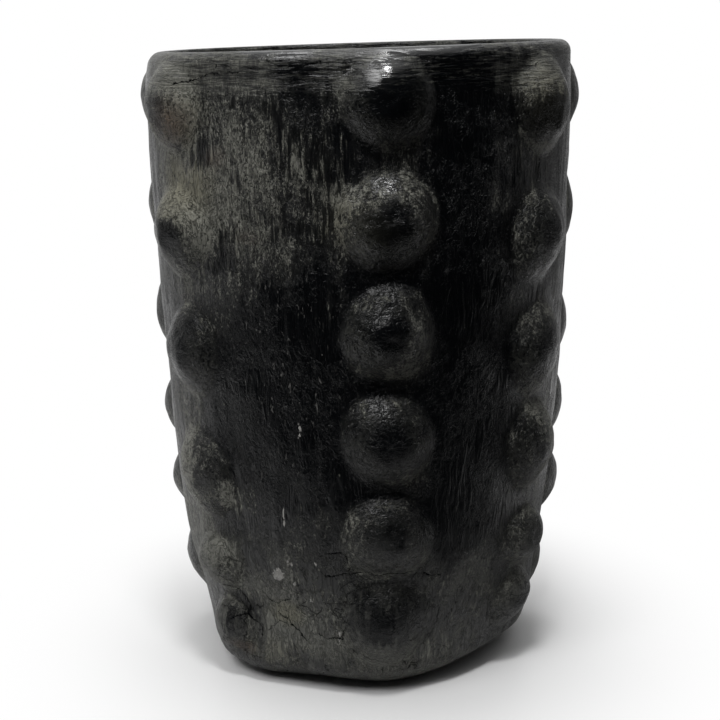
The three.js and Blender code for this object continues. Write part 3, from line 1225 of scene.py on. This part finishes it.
class ClayGraph(Graph):
    """The nodes of one clay, from its patterns to its surface."""

    def __init__(self, tree: NodeTree, finish: SmokedClayFinish) -> None:
        """Reads what the piece carries and finds the rim, the foot and the parts of the bosses.

        Args:
            tree: The material's nodes.
            finish: The clay's colours and sizes.
        """
        super().__init__(tree)
        self.finish = finish
        self.place = self.add("ShaderNodeTexCoord", "Object")
        self.height = self.part(self.place, "Z")
        self.comb = self.attribute("comb", "Vector")
        self.pale = self.attribute("pale")
        self.clouds = self.pattern("clouds")
        self.hollows = self.pattern("hollows")
        self.hugging = self.noise(finish.hugging, self.comb)
        self.rim = self.ramp(self.height, *finish.rim_band)
        self.share = self.attribute("boss_share")
        self.near_boss = self.ramp(self.share, 1.25, 0.95)
        # The crowns found here are darkened in the colour: partly the bosses' own burnished, sooty skin,
        # partly painted shade standing in for the dark front of the room that each crown reflects.
        self.crown = self.ramp(self.share, 0.62, 0.20)
        # The flank ring round each boss, weighted to its lower side, is paler and less black: partly dust,
        # partly painted bounce light from the floor below the bosses.
        self.flank = self.ring(0.25, 0.58, 0.86, 1.05)
        self.flank = self.flank * self.ramp(self.part(self.comb, "Z"), 0.012, -0.004, 0.30, 1.0)
        self.black = self.attribute("black") * (1 - self.flank * 0.35)
        self.polished = self.attribute("polished").at_most(1.0)

    def pattern(self, name: str) -> Signal:
        """One of the finish's patterns, laid in the vessel's own space."""
        return self.noise(getattr(self.finish, name), self.place)

    def ring(self, start: float, full_from: float, full_to: float, end: float) -> Signal:
        """A ring round each boss, which fades in and out at shares of its reach."""
        return self.ramp(self.share, start, full_from) * self.ramp(self.share, end, full_to)

    def scrape(self) -> tuple[Signal, Signal, Signal]:
        """Lays the scraping: upright on the wall, round the bosses and level at the rim.

        Returns:
            The fine marks, the broad ones, and the furrows between the broad ones.
        """
        marks = self.blend(self.ramp(self.clouds, 0.42, 0.56), self.pattern("streaks"), self.pattern("worms"))
        marks = self.blend(self.near_boss * 0.60, marks, self.hugging)
        marks = self.blend(self.rim.at_least(self.crown * 0.5), marks, self.pattern("level_strokes"))
        broad = self.blend(self.ramp(self.clouds, 0.44, 0.54), self.pattern("swell"), self.pattern("curl"))
        broad = self.blend(self.near_boss * 0.75, broad, self.noise(self.finish.arcs, self.comb))
        broad = self.blend(self.rim.at_least(self.crown * 0.4), broad, self.pattern("level_swell"))
        furrow = self.ramp(abs(broad - 0.5), 0.036, 0.004) * (1 - self.rim * 0.55)
        return marks, broad, furrow

    def expose(self) -> Signal:
        """Weighs up how much pale clay the wear could bare.

        Returns:
            Its share at each place, from 0 to 1.
        """
        amount = self.pale * 0.62 + 0.34 + (self.clouds - 0.5) * 1.1 + (self.pattern("bands") - 0.5) * 1.25
        edge = self.ring(0.86, 0.95, 0.98, 1.07) * self.ramp(self.clouds, 0.42, 0.58, 0.0, 0.12)
        amount = amount + self.ring(0.55, 0.82, 0.98, 1.22) * 0.17 + edge
        # Taking the crown down darkens each boss's crown: partly burnished clay, partly painted shade.
        amount = amount - self.black * 0.55 - self.crown * 0.25 - self.polished * 0.30
        return amount.at_least(0.0).at_most(1.0)

    def colour_wear(self, amount: Signal, wear: Signal) -> Signal:
        """Colours the smoked skin and the clay that shows where it is worn.

        Args:
            amount: How much pale clay could show.
            wear: How much of it does.

        Returns:
            The colour.
        """
        finish = self.finish
        # The worn clay is mixed between a darker and a lighter copy of its colour by the shade noise: partly
        # tone that varies at random, partly painted shade of the relief; on the bosses it is evened out
        # towards the lighter copy.
        worn_tone_and_painted_shade = self.blend(self.near_boss * 0.50, self.ramp(self.pattern("shade"), 0.38, 0.62), 0.72)
        worn = self.mix(worn_tone_and_painted_shade, finish.worn_in_painted_shade, finish.worn)
        colour = self.mix(self.ramp(amount, 0.1, 0.9), finish.soot, finish.dark)
        colour = self.mix(wear, colour, worn)
        # Pale on the bosses' flanks, heavier on their lower side: partly dust, partly painted bounce light.
        dust_and_bounce_light = self.flank * self.ramp(self.hugging, 0.38, 0.62, 0.0, 0.15)
        return self.mix(dust_and_bounce_light * (1 - self.black.at_most(1.0) * 0.7), colour, finish.worn)

    def find_ash(self) -> Signal:
        """Finds where the foot is ashen, out of the soot.

        Returns:
            How ashen each place is.
        """
        mottled = (self.pattern("speckle") - 0.5) * 1.5 + self.clouds + (self.pale - 0.3) * 0.35
        ashen = self.ramp(self.height, *self.finish.foot_band) * self.ramp(mottled, 0.34, 0.84, 0.12, 1.05)
        sooted = self.black * self.ramp(self.pattern("sooty"), 0.42, 0.57, 0.10, 1.60)
        # The crown keeps its soot here, which is partly painted shade.
        return ashen * (1 - sooted.at_least(self.crown * 0.2).at_most(1.0) * 0.95)

    def colour_spots(self, colour: Signal, wear: Signal) -> Signal:
        """Adds the earthy and rusty patches, the flecks and the chips.

        Args:
            colour: The clay's colour without them.
            wear: How worn each place is.

        Returns:
            The colour with them.
        """
        finish = self.finish
        colour = self.mix(self.attribute("earthy") * (wear * 0.75 + 0.08), colour, finish.earth)
        colour = self.mix(self.attribute("rusty") * (wear * 0.4 + 0.25), colour, finish.rust)
        # Pale flecks: partly pale specks in the clay, partly painted glints on the relief's edges.
        flecks = (self.ramp(self.pattern("flecks"), 0.640, 0.700) * self.attribute("flecked")).at_most(1.0)
        flecks = flecks * self.ramp(self.share, 0.98, 1.10)
        colour = self.mix(flecks * 0.38, colour, finish.chip)
        chip = self.attribute("chip") + (self.hollows - 0.5) * 2.6
        return self.mix(self.ramp(chip, 0.18, 0.34), colour, finish.chip)

    def crack(self) -> Signal:
        """Opens the drying cracks, and the finer crackle of the foot.

        Returns:
            How deep in a crack each place lies, from 0 to 1.
        """
        finish = self.finish
        wander = (self.pattern("fine_wander") - 0.5) * 5.5 + (self.pattern("broad_wander") - 0.5) * 5.0
        side = abs(self.attribute("crack_side") + wander)
        gape = side - self.ramp(self.pattern("gaping"), 0.40, 0.62, 0.0, 0.34)
        crack = self.ramp(gape, 0.25, 0.02) * self.ramp(self.attribute("crack_open"), 0.15, 0.7)
        shaking = self.noise(finish.shaking, self.place, "Color")
        shift = {0: shaking, "Scale": finish.crackle_shift}
        shift = self.add("ShaderNodeVectorMath", 0, shift, operation="SCALE")
        shaken = self.add("ShaderNodeVectorMath", 0, {0: self.place, 1: shift}, operation="ADD")
        cells = {"Vector": shaken, "Scale": finish.crackle_scale}
        cells = self.add("ShaderNodeTexVoronoi", "Distance", cells, feature="DISTANCE_TO_EDGE")
        crackle = self.ramp(cells, 0.034, 0.006) * self.ramp(self.pattern("crackled"), 0.50, 0.60)
        crackle = crackle * self.ramp(self.height, *finish.crackle_band)
        return crack.at_least(crackle * 0.75)

    def lay_surface(self) -> None:
        """Lays the colour, the shine and the relief on the clay."""
        finish = self.finish
        marks, broad, furrow = self.scrape()
        amount = self.expose()
        grain = self.pattern("grain")
        cover = marks + (amount - 0.5) * 0.34 + (grain - 0.5) * 0.20
        open_clay = self.ramp(amount, 0.15, 0.50)
        # The scrape marks that stand highest wear pale, and holes and furrows stay dark: partly the wear of
        # the smoked skin, partly painted highlight on the raised marks and painted shade in the hollows.
        hole = (furrow * open_clay * 0.8).at_least(self.ramp(self.hollows, 0.335, 0.290) * open_clay)
        wear = self.blend(self.rim, self.ramp(cover, 0.495, 0.645), self.ramp(cover, 0.34, 0.80) * 0.75)
        wear = wear * (1 - hole * 0.85)
        ashen = self.find_ash()
        crack = self.crack()
        colour = self.mix(ashen * 0.8, self.colour_wear(amount, wear), finish.ash)
        colour = self.mix(crack, self.colour_spots(colour, wear), finish.soot)

        relief = (marks * 0.60 + wear * 0.24) * (amount * 0.75 + 0.25) + grain * 0.08
        relief = relief + broad * 0.85 - hole * 0.24 - furrow * 0.09 - crack * 0.6
        strength = 1 - (self.polished * 0.60 + self.crown * 0.35)
        bump = {"Strength": strength, "Distance": finish.bump_height, "Height": relief}
        rough = self.ramp(cover, 0.30, 0.72, finish.gloss, finish.matt).at_least(ashen * finish.matt)
        dull = crack.at_least(hole * 0.8).at_least(furrow * 0.45)
        shine = self.polished * finish.polished_shine + finish.shine
        shine = shine * (1 - self.black.at_most(1.0) * 0.40)
        surface = {
            "Base Color": colour,
            "Roughness": self.blend(self.polished * 0.9, rough, finish.polish),
            "Specular IOR Level": (1 - dull) * shine,
            "Normal": self.add("ShaderNodeBump", 0, bump),
        }
        self.show("ShaderNodeOutputMaterial", self.add("ShaderNodeBsdfPrincipled", 0, surface))


@dataclass
class ClayVessel:
    """The whole vessel, piece by piece from the foot up."""

    skin: ClaySkin

    def build(self) -> list[Object]:
        """Builds every piece.

        Returns:
            The pieces.
        """
        clays = {slot: SmokedClayFinish(slot.value).build() for slot in Slot}
        courses = [WallCourse(self.skin, number=n + 1) for n in range(self.skin.form.course_count)]
        pieces = [ring.build(clays) for ring in (BaseDish(self.skin), *courses, RimCoil(self.skin))]
        maker = BossMaker(self.skin)
        maker.roll_ball()
        pieces += [maker.build(boss, clays) for boss in self.skin.form.bosses]
        maker.put_ball_away()
        return pieces


@dataclass(frozen=True)
class Lamp:
    """A soft panel lamp: where it hangs, what it faces, its width and height, and its watts."""

    name: str
    place: Place
    aim: Place
    size: Point
    power: float

    def hang(self) -> None:
        """Hangs the lamp."""
        data = bpy.data.lights.new(self.name, "AREA")
        data.shape = "RECTANGLE"
        data.size, data.size_y = self.size
        data.energy = self.power
        lamp = bpy.data.objects.new(self.name, data)
        lamp.location = self.place
        lamp.rotation_mode = "QUATERNION"
        lamp.rotation_quaternion = (Vector(self.place) - Vector(self.aim)).to_track_quat("Z", "Y")
        bpy.context.scene.collection.objects.link(lamp)


@dataclass
class Studio:
    """The pale floor, the soft light and the camera."""

    camera_place: Place = (-0.0009, -1.100, 0.4905)
    camera_pitch: float = 13.3
    camera_roll: float = 0.73
    focal_pixels: float = 1415.9
    image_pixels: float = 720.0
    sensor: float = 36.0
    clip: Point = (0.01, 100.0)
    floor_centre: Place = (0.0, 0.51, 0.0)
    floor_size: float = 1.7
    floor_white: float = 0.98
    front_bounce: float = 0.06
    back_bounce: float = 0.72
    bright_bounce: float = 0.97
    shaded_bounce: float = 0.22
    dark_side: Point = (-0.46, 0.89)
    shadow_fade: Point = (0.13, 0.33)
    lamps: tuple[Lamp, ...] = (
        Lamp("overhead_softbox", (0.04, -0.78, 1.75), (0, -0.1, 0.40), (0.22, 0.22), 9.0),
        Lamp("ceiling_panel", (0.0, 0.30, 1.90), (0, 0, 0.45), (1.0, 0.5), 8.0),
        Lamp("front_softbox", (-0.65, -1.05, 1.50), (0, 0, 0.25), (0.8, 0.6), 10.0),
    )

    def build(self) -> None:
        """Builds the studio."""
        self.add_camera()
        self.add_floor()
        self.add_world()
        for lamp in self.lamps:
            lamp.hang()
        bpy.context.scene.view_settings.view_transform = "Standard"

    def add_camera(self) -> None:
        """Puts the camera where the photograph was taken from."""
        data = bpy.data.cameras.new("photo_camera")
        data.sensor_width = self.sensor
        data.lens = self.focal_pixels / self.image_pixels * self.sensor
        data.clip_start, data.clip_end = self.clip
        camera = bpy.data.objects.new("photo_camera", data)
        pitch = Matrix.Rotation(math.radians(90 - self.camera_pitch), 4, "X")
        roll = Matrix.Rotation(math.radians(-self.camera_roll), 4, "Z")
        camera.matrix_world = Matrix.Translation(self.camera_place) @ pitch @ roll
        bpy.context.scene.collection.objects.link(camera)
        bpy.context.scene.camera = camera

    def add_floor(self) -> None:
        """Lays a pale floor that keeps the vessel's shadow and runs out into white."""
        bpy.ops.object.select_all(action="DESELECT")
        bpy.ops.mesh.primitive_plane_add(size=self.floor_size, location=self.floor_centre)
        floor = bpy.context.object
        floor.name = "studio_floor"
        material = bpy.data.materials.new("studio_floor")
        material.use_nodes = True
        graph = Graph(material.node_tree)
        place = graph.add("ShaderNodeNewGeometry", "Position")
        seen = graph.add("ShaderNodeLightPath", "Is Camera Ray")
        paint = {"Color": graph.mix(seen, self.bounce(graph, place), grey(self.floor_white))}
        far = graph.add("ShaderNodeVectorMath", "Value", {0: place}, operation="LENGTH")
        faded = {
            0: seen * graph.ramp(far, *self.shadow_fade),
            1: graph.add("ShaderNodeBsdfDiffuse", 0, paint),
            2: graph.add("ShaderNodeEmission", 0, {"Strength": 1.0}),
        }
        graph.show("ShaderNodeOutputMaterial", graph.add("ShaderNodeMixShader", 0, faded))
        floor.data.materials.append(material)

    def bounce(self, graph: Graph, place: Signal) -> Signal:
        """Colours the floor as the clay sees it: dark in front, pale behind, darker close by on the right.

        Args:
            graph: The floor's nodes.
            place: Each place of the floor.

        Returns:
            The colour.
        """
        x = graph.part(place, "X")
        y = graph.part(place, "Y")
        away = y * self.dark_side[1] + x * self.dark_side[0]
        bounce = graph.mix(graph.ramp(away, -0.34, -0.18), grey(self.front_bounce), grey(self.back_bounce))
        beyond = graph.ramp(y, 0.02, 0.16)
        left = beyond * graph.ramp(x, -0.20, -0.28) * graph.ramp(x, -0.62, -0.48)
        bright = left.at_least(beyond * graph.ramp(x, 0.32, 0.44))
        bounce = graph.mix(bright, bounce, grey(self.bright_bounce))
        shaded = graph.ramp(x, 0.14, 0.20) * graph.ramp(x, 0.36, 0.26)
        return graph.mix(shaded, bounce, grey(self.shaded_bounce))

    def add_world(self) -> None:
        """White surroundings to the eye, and a soft room for the clay: bright behind, dark in front."""
        world = bpy.data.worlds.new("studio_world")
        bpy.context.scene.world = world
        world.use_nodes = True
        graph = Graph(world.node_tree)
        direction = graph.add("ShaderNodeTexCoord", "Generated")
        walls = graph.ramp(graph.part(direction, "Y"), -0.12, 0.62, 0.012, 0.78)
        walls = walls * graph.ramp(graph.part(direction, "X"), 0.05, 0.60, 1.0, 0.27)
        ceiling = graph.ramp(graph.part(direction, "Z"), 0.55, 1.0, 0.0, 0.8)
        room = {"Strength": walls.at_least(ceiling), "Color": grey(1.0)}
        shown = {
            0: graph.add("ShaderNodeLightPath", "Is Camera Ray"),
            1: graph.add("ShaderNodeBackground", 0, room),
            2: graph.add("ShaderNodeBackground", 0, {"Strength": 1.0, "Color": grey(1.0)}),
        }
        graph.show("ShaderNodeOutputWorld", graph.add("ShaderNodeMixShader", 0, shown))


def main() -> None:
    """Builds the vessel and its studio, and logs each piece."""
    logging.basicConfig(level=logging.INFO, format="%(name)s %(message)s")
    form = VesselForm()
    skin = ClaySkin(form, Tooling(form))
    pieces = ClayVessel(skin).build()
    Studio().build()
    LOG.info("%d pieces", len(pieces))


if __name__ == "__main__":
    main()
